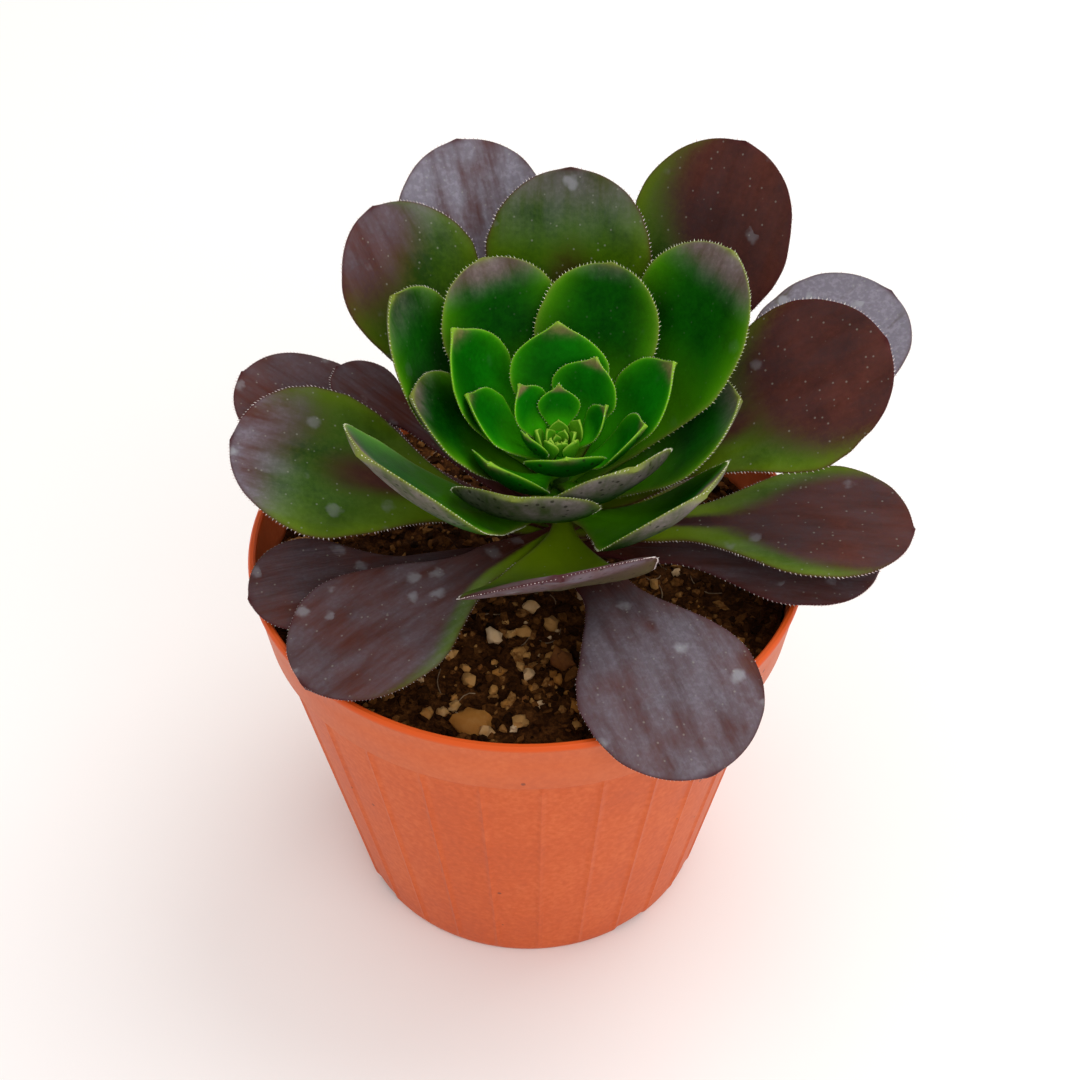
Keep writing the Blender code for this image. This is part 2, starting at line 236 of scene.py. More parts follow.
pot_low, pot_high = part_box("nursery_pot")
pot_height = pot_high.z
rim_radius = pot_high.x
foot_radius = 36.0 * MM
band_height = 13.0 * MM
band_foot = pot_height - band_height
band_radius = rim_radius - 2.0 * MM
wall_top_radius = band_radius - 1.2 * MM
wall = 1.2 * MM
ribs = 28
steps_per_rib = 24
first_rib = radians(-61.0)
rib_proud = 0.4 * MM
rib_half_width = 0.75 * MM
rib_fade_in = 1.5 * MM
rib_fade_out = 1.0 * MM
notches = 4
notch_rise = 1.2 * MM
notch_half_width = 2.9 * MM
notch_slope_width = 1.1 * MM


def wall_radius(height):
    return foot_radius + (wall_top_radius - foot_radius) * height / band_foot


foot_outer = [(1.0 * MM, 0.7 * MM), (foot_radius - 4.0 * MM, 0.7 * MM),
              (foot_radius - 3.4 * MM, 0.2 * MM), (foot_radius - 3.0 * MM, 0.0),
              (foot_radius - 0.8 * MM, 0.0), (foot_radius - 0.25 * MM, 0.15 * MM),
              (wall_radius(0.8 * MM), 0.8 * MM)]
side_wall = [(wall_radius(share * (band_foot - 1.8 * MM)), share * (band_foot - 1.8 * MM))
             for share in (0.03, 0.06, 0.2, 0.4, 0.6, 0.8, 0.96, 0.985, 1.0)]
band = [(wall_top_radius + 0.15 * MM, band_foot - 0.9 * MM),
        (band_radius - 0.25 * MM, band_foot - 0.25 * MM),
        (band_radius, band_foot + 0.1 * MM),
        (band_radius + 1.0 * MM, band_foot + 0.55 * band_height),
        (rim_radius - 0.35 * MM, pot_height - 1.9 * MM),
        (rim_radius - 0.08 * MM, pot_height - 1.3 * MM),
        (rim_radius, pot_height - 0.8 * MM),
        (rim_radius - 0.12 * MM, pot_height - 0.3 * MM),
        (rim_radius - 0.45 * MM, pot_height),
        (rim_radius - 1.05 * MM, pot_height),
        (rim_radius - 1.4 * MM, pot_height - 0.3 * MM)]
inside_wall = [(rim_radius - 1.7 * MM, pot_height - 1.6 * MM),
               (band_radius - wall, band_foot + 0.6 * MM),
               (wall_top_radius - wall, band_foot - 1.4 * MM),
               (foot_radius - wall, 2.1 * MM),
               (foot_radius - wall - 0.7 * MM, 1.5 * MM),
               (1.0 * MM, 1.5 * MM)]
pot = turn_profile("terracotta_pot", ribs * steps_per_rib,
                   foot_outer + side_wall + band + inside_wall)

rib_spacing = 2.0 * pi / ribs
notch_spacing = 2.0 * pi / notches
for vertex in pot.data.vertices:
    x, y, z = vertex.co
    radius = hypot(x, y)
    from_rib = (atan2(y, x) - first_rib + rib_spacing / 2.0) % rib_spacing - rib_spacing / 2.0
    on_outside = radius > wall_radius(z) - 0.3 * MM
    if on_outside and 0.5 * MM < z < band_foot - 1.0 * MM:
        width_share = abs(from_rib) * radius / rib_half_width
        fade = smooth_step((z - 0.8 * MM) / rib_fade_in)
        fade *= smooth_step((band_foot - 1.4 * MM - z) / rib_fade_out)
        proud = rib_proud * fade * (1.0 - smooth_step(width_share))
        vertex.co.x += proud * x / radius
        vertex.co.y += proud * y / radius
    if z < 1.0 * MM and radius > foot_radius - 3.8 * MM:
        turn = (atan2(y, x) - first_rib - rib_spacing / 2.0) % notch_spacing
        off_middle = min(turn, notch_spacing - turn) * radius
        lift = 1.0 - smooth_step((off_middle - notch_half_width) / notch_slope_width)
        vertex.co.z += notch_rise * lift * (1.0 - z / (1.6 * MM))

plastic, tree, shader = new_material("terracotta_plastic")
place = object_place(tree)
height = add_node(tree, "ShaderNodeSeparateXYZ", Vector=place).outputs["Z"]
mottle = cloud(tree, place, 55.0, 5.0)
fine = cloud(tree, place, 900.0, 2.0)
body = ramp(tree, maths(tree, "MULTIPLY_ADD", fine, 0.55, times(tree, mottle, 0.48)),
            [(0.28, (0.47, 0.068, 0.009)), (0.5, (0.55, 0.090, 0.015)),
             (0.74, (0.64, 0.135, 0.036))])
on_band = stretch(tree, height, band_foot - 0.4 * MM, band_foot + 0.4 * MM)
band_tone = blend_colours(tree, times(tree, on_band, 0.30), body,
                          (0.60, 0.15, 0.055, 1.0))
# Painted highlight: the lip is painted a brighter orange than the wall, standing in for the light
# along its top edge.
at_lip = stretch(tree, height, pot_height - 1.3 * MM, pot_height - 0.5 * MM)
lip_tone = blend_colours(tree, at_lip, band_tone, (0.66, 0.088, 0.010, 1.0))
specks = add_node(tree, "ShaderNodeTexVoronoi", Vector=place, Scale=210.0)
speck_size = maths(tree, "LESS_THAN", specks.outputs["Distance"], 0.085)
speck_pick = maths(tree, "GREATER_THAN",
                   add_node(tree, "ShaderNodeSeparateColor",
                            Color=specks.outputs["Color"]).outputs["Red"], 0.84)
speck = times(tree, times(tree, speck_size, speck_pick), 0.75)
tree.links.new(blend_colours(tree, speck, lip_tone, (0.13, 0.03, 0.018, 1.0)),
               shader.inputs["Base Color"])
draw_marks = add_node(tree, "ShaderNodeMapping", Vector=place, Scale=(1.0, 1.0, 0.04))
streaks = cloud(tree, draw_marks.outputs[0], 420.0, 2.0)
tree.links.new(maths(tree, "MULTIPLY_ADD", mottle, 0.22, 0.36), shader.inputs["Roughness"])
skin_height = maths(tree, "ADD", times(tree, streaks, 0.5),
                    times(tree, fine, 0.6))
roughen(tree, shader, skin_height, 0.35, 0.08 * MM)
shader.inputs["Specular IOR Level"].default_value = 0.20
finish_piece(pot, plastic, ["nursery_pot"])


# --------------------
# Potting mix: dark peat and bark, heaped a little towards the stem and rough all over. Crumbs,
# bark chips and root threads lie loose on it, and grit of tan, ochre and white stone is strewn
# over it, thickest at the front. Each loose kind is modelled once and strewn as copies.
# --------------------
soil_edge_level = 72.4 * MM
soil_heap = 1.4 * MM
soil_radius = band_radius - wall - 0.1 * MM
crumbs_per_kind = 900
largest_crumb = 2.3 * MM
chip_count = 110
thread_count = 34
thread_radius = 0.11 * MM
thread_clear_of_peat = 0.35 * MM
grit_per_kind = 34
smallest_grit = 0.7 * MM
grit_growth = 1.9 * MM
grit_from_edge = 2.5 * MM


def soil_height(x, y):
    """Height of the peat: a low heap with soft lumps, crumbly at the small scale."""
    share = hypot(x, y) / rim_radius
    lumps = sin(130.0 * x + 0.7) * cos(150.0 * y - 0.4) + 0.6 * sin(240.0 * x - 190.0 * y)
    fade = 1.0 - smooth_step((share - 0.6) / 0.32)
    crumbs = (0.55 * noise.noise(Vector((x, y, 0.0)) * 330.0)
              + 0.35 * noise.noise(Vector((x, y, 0.01)) * 780.0))
    return (soil_edge_level + soil_heap * (1.0 - share * share)
            + (0.5 * lumps * fade + crumbs) * MM)


inner_foot = foot_radius - wall - 0.8 * MM
soil_sides = [(1.0 * MM, 1.9 * MM), (inner_foot, 1.9 * MM),
              (wall_top_radius - wall - 0.3 * MM, band_foot - 1.6 * MM),
              (soil_radius, band_foot + 1.2 * MM)]
soil_rings = 62
soil_top = [(soil_radius * (1.0 - ring / soil_rings) + 0.3 * MM * ring / soil_rings,
             soil_edge_level) for ring in range(soil_rings + 1)]
soil = turn_profile("peat", 240, soil_sides + soil_top)
for vertex in soil.data.vertices:
    if vertex.co.z > soil_edge_level - 0.1 * MM:
        x, y, _ = vertex.co
        vertex.co.z = soil_height(x, y)
        vertex.co.x += 0.3 * MM * noise.noise(Vector((x, y, 0.02)) * 500.0)

peat, tree, shader = new_material("peat_and_bark")
place = object_place(tree)
coarse = cloud(tree, place, 260.0, 6.0, 0.7)
small = cloud(tree, place, 1500.0, 4.0, 0.7)
mix_value = maths(tree, "MULTIPLY_ADD", small, 0.45, times(tree, coarse, 0.6))
tree.links.new(ramp(tree, mix_value,
                    [(0.32, (0.006, 0.002, 0.001)), (0.49, (0.034, 0.011, 0.003)),
                     (0.62, (0.110, 0.040, 0.010)), (0.76, (0.25, 0.115, 0.034))]),
               shader.inputs["Base Color"])
shader.inputs["Roughness"].default_value = 0.92
shader.inputs["Specular IOR Level"].default_value = 0.05
roughen(tree, shader, mix_value, 0.9, 0.6 * MM)
finish_piece(soil, peat, ["potting_mix"], smooth_angle=60.0)


def model_lump(subdivisions, roughness_share, seed):
    """One rough lump about 1 m across: a ball of a few faces with its corners pushed about."""
    deselect_all()
    bpy.ops.mesh.primitive_ico_sphere_add(subdivisions=subdivisions, radius=0.5)
    lump = bpy.context.object
    for vertex in lump.data.vertices:
        push = noise.noise(vertex.co * 2.6 + Vector((seed, 0.0, 0.0)))
        vertex.co *= 1.0 + roughness_share * push
    return lump


def strew(name, shape, places):
    """Copies of one shape as a single mesh; each place is a matrix and a tint from 0 to 1."""
    points = np.array([v.co for v in shape.data.vertices])
    faces = [tuple(p.vertices) for p in shape.data.polygons]
    all_points = []
    all_faces = []
    tints = []
    for matrix, tint in places:
        turned = np.array(matrix.to_3x3())
        first = len(all_points) * len(points)
        all_points.append(points @ turned.T + np.array(matrix.translation))
        all_faces.extend(tuple(corner + first for corner in face) for face in faces)
        tints.append(np.full(len(points), tint))
    mesh = bpy.data.meshes.new(name)
    mesh.from_pydata(np.concatenate(all_points).tolist(), [], all_faces)
    tint_layer = mesh.attributes.new("tint", "FLOAT", "POINT")
    tint_layer.data.foreach_set("value", np.concatenate(tints).astype(np.float32))
    piece = bpy.data.objects.new(name, mesh)
    bpy.context.scene.collection.objects.link(piece)
    bpy.data.objects.remove(shape, do_unlink=True)
    return piece


def join_pieces(name, parts):
    deselect_all()
    for part in parts:
        part.select_set(True)
    bpy.context.view_layer.objects.active = parts[0]
    bpy.ops.object.join()
    parts[0].name = name
    return parts[0]


def lay_down(chance, x, y, size, flatness, sink):
    """A place on the peat for something of that size, turned at random and sunk a little."""
    turned = Euler((chance.uniform(-0.5, 0.5), chance.uniform(-0.5, 0.5),
                    chance.uniform(0.0, 2.0 * pi))).to_matrix().to_4x4()
    scale = Matrix.Diagonal((size, size * chance.uniform(0.62, 0.95), size * flatness, 1.0))
    rest = soil_height(x, y) + size * flatness * (0.5 - sink)
    return Matrix.Translation((x, y, rest)) @ turned @ scale


def spot_on_peat(chance, keep_from_edge=1.2 * MM):
    reach = (soil_radius - keep_from_edge) * sqrt(chance.random())
    turn = chance.uniform(0.0, 2.0 * pi)
    return reach * cos(turn), reach * sin(turn)


def tint_of(tree):
    return add_node(tree, "ShaderNodeAttribute", {"attribute_name": "tint"}).outputs["Fac"]


chance = Random(11)
crumb_kinds = []
for kind in range(3):
    places = []
    for _ in range(crumbs_per_kind):
        x, y = spot_on_peat(chance)
        size = chance.uniform(0.5, 1.0) ** 2 * largest_crumb
        places.append((lay_down(chance, x, y, size, chance.uniform(0.5, 0.9), sink=0.25),
                       chance.random()))
    crumb_kinds.append(strew("crumbs", model_lump(1, 0.9, kind * 5.0), places))
crumbs = join_pieces("peat_crumbs", crumb_kinds)

loose, tree, shader = new_material("loose_peat")
place = object_place(tree)
tint = tint_of(tree)
grain = cloud(tree, place, 1400.0, 3.0)
tree.links.new(ramp(tree, maths(tree, "MULTIPLY_ADD", grain, 0.4,
                                times(tree, tint, 0.7)),
                    [(0.15, (0.008, 0.003, 0.001)), (0.58, (0.050, 0.017, 0.004)),
                     (0.82, (0.16, 0.062, 0.015)), (0.95, (0.32, 0.160, 0.048))]),
               shader.inputs["Base Color"])
shader.inputs["Roughness"].default_value = 0.9
shader.inputs["Specular IOR Level"].default_value = 0.05
roughen(tree, shader, grain, 0.7, 0.3 * MM)
finish_piece(crumbs, loose, smooth_angle=20.0)

# Bark chips: flat splinters with a broken edge.
places = []
for _ in range(chip_count):
    x, y = spot_on_peat(chance, keep_from_edge=3.0 * MM)
    places.append((lay_down(chance, x, y, chance.uniform(2.0, 4.6) * MM, 0.2, sink=0.1),
                   chance.uniform(0.3, 1.0)))
chip = model_lump(1, 0.8, 31.0)
for vertex in chip.data.vertices:
    vertex.co.y *= 0.55
bark = strew("bark_chips", chip, places)
finish_piece(bark, loose, smooth_angle=20.0)

# Root threads: hair-thin, lying in loose bends over the crumbs.
threads = []
for _ in range(thread_count):
    x, y = spot_on_peat(chance, keep_from_edge=9.0 * MM)
    heading = chance.uniform(0.0, 2.0 * pi)
    length = chance.uniform(4.0, 9.0) * MM
    bend = chance.uniform(-1.6, 1.6)
    deselect_all()
    bpy.ops.mesh.primitive_cylinder_add(vertices=5, radius=thread_radius, depth=length,
                                        location=(0, 0, length / 2.0))
    bpy.ops.object.transform_apply(location=True, rotation=True, scale=True)
    thread = bpy.context.object
    bpy.ops.object.mode_set(mode="EDIT")
    for cut in (0.5, 0.125, 0.25, 0.375, 0.625, 0.75, 0.875):
        bpy.ops.mesh.select_all(action="SELECT")
        bpy.ops.mesh.bisect(plane_co=(0, 0, length * cut), plane_no=(0, 0, 1))
    bpy.ops.object.mode_set(mode="OBJECT")
    for vertex in thread.data.vertices:
        along = vertex.co.z
        turn = heading + bend * along / length
        run = Vector((cos(turn), sin(turn), 0.0)) * along
        ground = soil_height(x + run.x, y + run.y) + thread_clear_of_peat
        side = Vector((-sin(turn), cos(turn), 0.0)) * vertex.co.x
        vertex.co = Vector((x, y, ground)) + run + side + Vector((0, 0, vertex.co.y))
    threads.append(thread)
roots = join_pieces("root_threads", threads)
root_skin, tree, shader = new_material("root_thread_skin")
place = object_place(tree)
tree.links.new(ramp(tree, cloud(tree, place, 500.0),
                    [(0.35, (0.10, 0.055, 0.025)), (0.65, (0.30, 0.20, 0.11))]),
               shader.inputs["Base Color"])
shader.inputs["Roughness"].default_value = 0.8
finish_piece(roots, root_skin, smooth_angle=60.0)

# Grit: stones of 1 to 7 mm. The larger ones lie where they are placed: x and y in millimetres,
# size in millimetres, flatness, and tint from dark brown through ochre to white.
larger_stones = (
    (0.5, -11.0, 3.0, 0.8, 0.80), (-3.0, -18.0, 2.0, 0.8, 0.70), (-0.5, -17.5, 3.0, 0.7, 0.58),
    (-6.0, -19.5, 3.5, 0.8, 0.95), (-1.5, -22.0, 2.7, 0.6, 0.50), (6.5, -25.0, 4.7, 0.7, 0.10),
    (0.5, -28.0, 2.7, 0.8, 0.86), (-10.5, -29.0, 2.9, 0.8, 0.64), (-6.0, -31.5, 2.0, 0.9, 0.52),
    (-17.5, -37.0, 2.4, 0.8, 0.48), (-15.0, -36.5, 2.2, 0.8, 0.74), (-9.5, -39.5, 7.0, 0.4, 0.36),
    (-1.0, -39.0, 3.3, 0.6, 0.66), (9.0, -36.0, 2.4, 0.8, 0.36), (10.5, -7.5, 2.7, 0.9, 0.92),
    (28.5, -1.5, 2.0, 0.8, 0.88), (39.0, -19.0, 2.7, 0.6, 0.40), (4.5, -15.0, 3.3, 0.7, 0.60),
    (-44.5, 7.0, 5.0, 0.5, 0.56), (-41.0, 6.0, 2.4, 0.8, 0.68),
)
stone_kinds = []
for kind in range(4):
    places = []
    for number, (x, y, size, flatness, shade) in enumerate(larger_stones):
        if number % 4 == kind:
            places.append((lay_down(chance, x * MM, y * MM, size * MM, flatness, sink=0.15),
                           shade))
    for _ in range(grit_per_kind):
        if chance.random() < 0.5:
            x = chance.gauss(-1.0, 11.0) * MM
            y = chance.gauss(-28.0, 9.0) * MM
        else:
            x, y = spot_on_peat(chance, grit_from_edge)
        if hypot(x, y) > soil_radius - grit_from_edge:
            continue
        size = smallest_grit + grit_growth * chance.random() ** 2.6
        places.append((lay_down(chance, x, y, size, chance.uniform(0.55, 0.95), sink=0.2),
                       chance.random()))
    stone_kinds.append(strew("stones", model_lump(2, 0.62, 50.0 + kind * 7.0), places))
grit = join_pieces("grit", stone_kinds)

stone, tree, shader = new_material("grit_stone")
place = object_place(tree)
tint = tint_of(tree)
veins = cloud(tree, place, 700.0, 5.0, 0.65)
tree.links.new(ramp(tree, maths(tree, "MULTIPLY_ADD", veins, 0.30,
                                maths(tree, "MULTIPLY_ADD", tint, 0.85, -0.08)),
                    [(0.10, (0.13, 0.040, 0.010)), (0.36, (0.32, 0.13, 0.020)),
                     (0.66, (0.45, 0.24, 0.075)), (0.96, (0.68, 0.50, 0.30))]),
               shader.inputs["Base Color"])
shader.inputs["Roughness"].default_value = 0.75
shader.inputs["Specular IOR Level"].default_value = 0.2
roughen(tree, shader, veins, 0.5, 0.3 * MM)
finish_piece(grit, stone, smooth_angle=50.0)


# --------------------
# Stem: a short green-brown shoot, thickest in the soil and ringed by old leaf scars. It leans a
# little, and every leaf stalk grows out of it.
# --------------------
stem_foot = Vector((7.5, 1.0, 75.0)) * MM
stem_lean = Vector((-0.06, -0.03, 1.0))
stem_low, stem_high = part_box("stem")
stem_rings = 26


def stem_axis(level):
    return stem_foot + stem_lean * (level - stem_foot.z)


stem_profile = []
for ring in range(stem_rings + 1):
    share = ring / stem_rings
    level = (stem_low.z - 2.0 * MM) + share * (stem_high.z + 2.2 * MM - stem_low.z)
    swell = 1.0 + 0.08 * sin(share * 44.0)
    stem_profile.append(((3.0 - 1.7 * share) * MM * swell, level))
shoot = turn_profile("shoot", 28, stem_profile)
for vertex in shoot.data.vertices:
    lean = stem_axis(vertex.co.z)
    rough = 1.0 + 0.10 * noise.noise(vertex.co * 700.0)
    vertex.co.x = lean.x + vertex.co.x * rough
    vertex.co.y = lean.y + vertex.co.y * rough

shoot_skin, tree, shader = new_material("shoot_skin")
place = object_place(tree)
height = add_node(tree, "ShaderNodeSeparateXYZ", Vector=place).outputs["Z"]
patches = cloud(tree, place, 420.0, 4.0)
age = maths(tree, "MULTIPLY_ADD", patches, 0.5,
            times(tree, stretch(tree, height, 0.076, 0.094), 0.6))
tree.links.new(ramp(tree, age, [(0.15, (0.055, 0.028, 0.014)), (0.5, (0.11, 0.085, 0.025)),
                                (0.95, (0.07, 0.20, 0.02))]),
               shader.inputs["Base Color"])
shader.inputs["Roughness"].default_value = 0.7
roughen(tree, shader, patches, 0.6, 0.3 * MM)
finish_piece(shoot, shoot_skin, ["stem"], smooth_angle=60.0)


# --------------------
# Outer leaves: fleshy spoons on long stalks, the lowest lying almost flat over the pot's rim.
# The skin is purple-brown with a grey waxy bloom that also carries painted sheen, still green
# towards the stalk. The margin carries a row of short white hairs. Each leaf is a ball drawn out
# along its own midrib.
# --------------------
class Leaf(NamedTuple):
    """One leaf: lengths in millimetres, angles in degrees, and its skin as shares from 0 to 1.

    heading is seen from above, anticlockwise from +X; level is where the stalk leaves the stem;
    the slope goes from rise to tip_rise between bend_from and bend_to of the length, and paddle
    gives a round blade on a long stalk. The skin is green up to green_to of the length; side
    turns the purple to the left (+) or right (-), and rim keeps the edges green. streak darkens
    the stalk's middle. bloom and tip_bloom (beyond tip_from) are wax together
    with painted sheen, and under_bloom is wax; margin is the width of the coloured edge, light the
    strength of the light green near the stalk, partly painted glow of light through the leaf,
    spike the length of the point, tip_width the width it grows from, and hair the size of the
    hairs.
    """
    heading: float
    level: float
    length: float
    width: float
    rise: float
    tip_rise: float
    cup: float = 12.0
    roll: float = 0.0
    sweep: float = 0.0
    bend_from: float = 0.0
    bend_to: float = 1.0
    point: float = 0.0
    paddle: bool = False
    start: float = 0.0
    spike: float = 0.35
    tip_width: float = 0.08
    green_to: float = 0.2
    purple: float = 1.0
    side: float = 0.0
    rim: float = 0.0
    streak: float = 0.0
    bloom: float = 0.3
    tip_bloom: float = 0.0
    tip_from: float = 0.74
    under_bloom: float = 0.0
    margin: float = 0.42
    light: float = 1.0
    hair: float = 1.0
    wrinkle: float = 0.0


midrib_steps = 60
# The first rows run from inside the stem to the start of the stalk.
heel_rows = 0.07
heel_share = 0.85
longest_heel = 4.5 * MM
row_crowding = 1.8
lowest_leaf_level = 76.0 * MM
leaf_clearance = 4.1 * MM
clearance_taper = 0.07

# Outline, as shares of the length and width; a paddle has a round blade on a long stalk.
base_width = 0.12
stalk_width = 0.30
stalk_full_at = 0.25
paddle_end_length = 0.53
paddle_shoulder_length = 0.85
round_end = 0.5
pointed_end = 0.4

# Thickness in millimetres: the most, and for short leaves the least and the gain per length.
stalk_thickness, stalk_least, stalk_gain = 2.3, 1.0, 0.03
blade_thickness, blade_least, blade_gain = 1.9, 0.8, 0.025
end_thins_from = 0.75
end_thinning = 0.35
edge_fullness = 2.5

# Unevenness: wavy edges and face, and a groove along the midrib of the stalk.
edge_wave_size = 0.045
face_wave_height = 0.45 * MM
groove_depth = 0.35 * MM
groove_half_width = 0.13
full_waves_width = 30.0
full_groove_length = 50.0
stalk_cup = 0.6
full_cup_at = 0.7
full_roll_at = 0.8
sweep_power = 1.5
spike_from = 0.85
spike_power = 1.5


def leaf_half_width(leaf, share):
    """Half width along the leaf: a narrow base, a stalk, the blade and a rounded end."""
    blade_from = 0.12
    widest_at = 0.68
    fullness = 2.2
    if leaf.paddle:
        widest_at = 1.0 - paddle_end_length * leaf.width / leaf.length
        blade_from = widest_at - paddle_shoulder_length * leaf.width / leaf.length
        fullness = 2.1
    if share < widest_at:
        blade_growth = smooth_step((share - blade_from) / (widest_at - blade_from))
        outline = (base_width
                   + (stalk_width - base_width) * smooth_step(share / stalk_full_at)
                   + (1.0 - stalk_width) * blade_growth)
    else:
        beyond = (share - widest_at) / (1.0 - widest_at)
        outline = max(1.0 - beyond ** fullness, 0.0) ** (round_end + pointed_end * leaf.point)
    return outline * leaf.width * MM / 2.0


def leaf_thickness(leaf, share):
    stalk = min(stalk_thickness, stalk_least + stalk_gain * leaf.length)
    blade = min(blade_thickness, blade_least + blade_gain * leaf.length)
    thickness = stalk + (blade - stalk) * smooth_step(share / 0.45)
    at_end = smooth_step((share - end_thins_from) / (1.0 - end_thins_from))
    return thickness * MM * (1.0 - end_thinning * at_end)


def leaf_frame(leaf, share):
    """Directions at a share of the length: along the leaf, to its left, and out of its face."""
    share = max(share, 0.0)
    bent = smooth_step((share - leaf.bend_from) / (leaf.bend_to - leaf.bend_from))
    slope = radians(leaf.rise + (leaf.tip_rise - leaf.rise) * bent)
    heading = radians(leaf.heading + leaf.sweep * share ** sweep_power)
    along = Vector((cos(slope) * cos(heading), cos(slope) * sin(heading), sin(slope)))
    left = Vector((-sin(heading), cos(heading), 0.0))
    face = along.cross(left)
    roll = radians(leaf.roll) * smooth_step(share / full_roll_at)
    return along, left * cos(roll) + face * sin(roll), face * cos(roll) - left * sin(roll)


def leaf_midrib(leaf):
    level = leaf.level * MM
    clearance = leaf.start * MM
    if not clearance:
        clearance = leaf_clearance - clearance_taper * (level - lowest_leaf_level)
    heading = radians(leaf.heading)
    point = stem_axis(level) + clearance * Vector((cos(heading), sin(heading), 0.0))
    points = [point]
    for step in range(midrib_steps):
        along, _, _ = leaf_frame(leaf, (step + 0.5) / midrib_steps)
        point = point + along * (leaf.length * MM / midrib_steps)
        points.append(point)
    return points, clearance


def leaf_rows(leaf, count):
    """Share of the length, centre and directions of each row, from inside the stem outwards."""
    midrib, clearance = leaf_midrib(leaf)
    heel = min(clearance / cos(radians(leaf.rise)), longest_heel) * heel_share
    rows = []
    for row in range(count + 1):
        place_in_rows = row / count
        if place_in_rows < heel_rows:
            back = 1.0 - place_in_rows / heel_rows
            along, left, face = leaf_frame(leaf, 0.0)
            rows.append((-back, midrib[0] - along * heel * back, along, left, face))
            continue
        share = 1.0 - (1.0 - (place_in_rows - heel_rows) / (1.0 - heel_rows)) ** row_crowding
        position = share * midrib_steps
        step = min(int(position), midrib_steps - 1)
        centre = midrib[step].lerp(midrib[step + 1], position - step)
        rows.append((share, centre, *leaf_frame(leaf, share)))
    return rows


def leaf_point(leaf, row, across, upper, seed):
    """A point of the leaf's skin; across runs from -1 at the right edge to 1 at the left."""
    share, centre, along, left, face = row
    on_leaf = max(share, 0.0)
    half_width = leaf_half_width(leaf, on_leaf)
    blade = smooth_step((on_leaf - 0.3) / 0.3)
    edge_wave = (noise.noise(Vector((on_leaf * 7.0, across * 0.6, seed)))
                 + 0.35 * noise.noise(Vector((on_leaf * 21.0, across * 2.0, seed + 4.0))))
    half_width *= 1.0 + edge_wave_size * blade * edge_wave
    arc = radians(leaf.cup) * (stalk_cup + (1.0 - stalk_cup) * smooth_step(on_leaf / full_cup_at))
    waves = noise.noise(Vector((across * 1.3, on_leaf * 3.4, seed + 9.0)))
    lift = face_wave_height * waves * blade * min(leaf.width / full_waves_width, 1.0)
    groove = exp(-(across / groove_half_width) ** 2) * smooth_step(on_leaf / 0.1)
    groove *= 1.0 - smooth_step((on_leaf - 0.35) / 0.45)
    half_thickness = leaf_thickness(leaf, on_leaf) / 2.0 * sqrt(1.0 - abs(across) ** edge_fullness)
    if not upper:
        half_thickness = -half_thickness
    half_thickness -= groove_depth * groove * min(leaf.length / full_groove_length, 1.0)
    narrow = half_width / (leaf.tip_width * leaf.width * MM)
    spike = leaf.spike * MM * max(1.0 - narrow, 0.0) ** spike_power
    if on_leaf < spike_from:
        spike = 0.0
    return (centre + left * (half_width * sin(arc * across) / arc)
            + face * (half_width * (1.0 - cos(arc * across)) / arc + half_thickness + lift)
            + along * spike)


def leaf_skin_shares(leaf, share, across, upper):
    """Shares of purple, bloom with painted sheen, margin, light green with painted glow, 1 on the
    underside, and the wrinkles.
    """
    on_leaf = max(share, 0.0)
    to_purple = on_leaf - leaf.green_to + 0.25 * leaf.side * across - leaf.rim * across ** 2
    purple = leaf.purple * smooth_step(0.5 + to_purple / 0.5)
    purple = max(purple, leaf.streak * exp(-(across / 0.35) ** 2)
                 * (1.0 - smooth_step((on_leaf - 0.50) / 0.42)))
    at_tip = smooth_step((on_leaf - leaf.tip_from) / (1.0 - leaf.tip_from))
    # Grey wax bloom together with painted sheen: its pale grey stands partly for the lights' shine
    # on the leaf.
    bloom = leaf.bloom * smooth_step((on_leaf - 0.15) / 0.4) + leaf.tip_bloom * at_tip
    if not upper:
        frost = leaf.under_bloom * smooth_step((on_leaf - 0.56) / 0.34)
        bloom = max(bloom, frost)
        purple = max(purple, frost)
    inset = leaf_half_width(leaf, on_leaf) * (1.0 - abs(across))
    inset = min(inset, (1.0 - on_leaf) * leaf.length * MM)
    margin = exp(-inset / (leaf.margin * MM))
    # Light green near the stalk and along the edges: partly the leaf's own paler base, partly
    # painted glow of light shining through the leaf.
    light = leaf.light * max(1.0 - smooth_step((on_leaf - 0.22) / 0.48), 0.75 * abs(across) ** 4)
    return (max(purple, leaf.tip_bloom * at_tip), bloom, margin, light,
            0.0 if upper else 1.0, leaf.wrinkle)


skin_layers = ("purple", "bloom", "margin", "light", "under", "wrinkle")


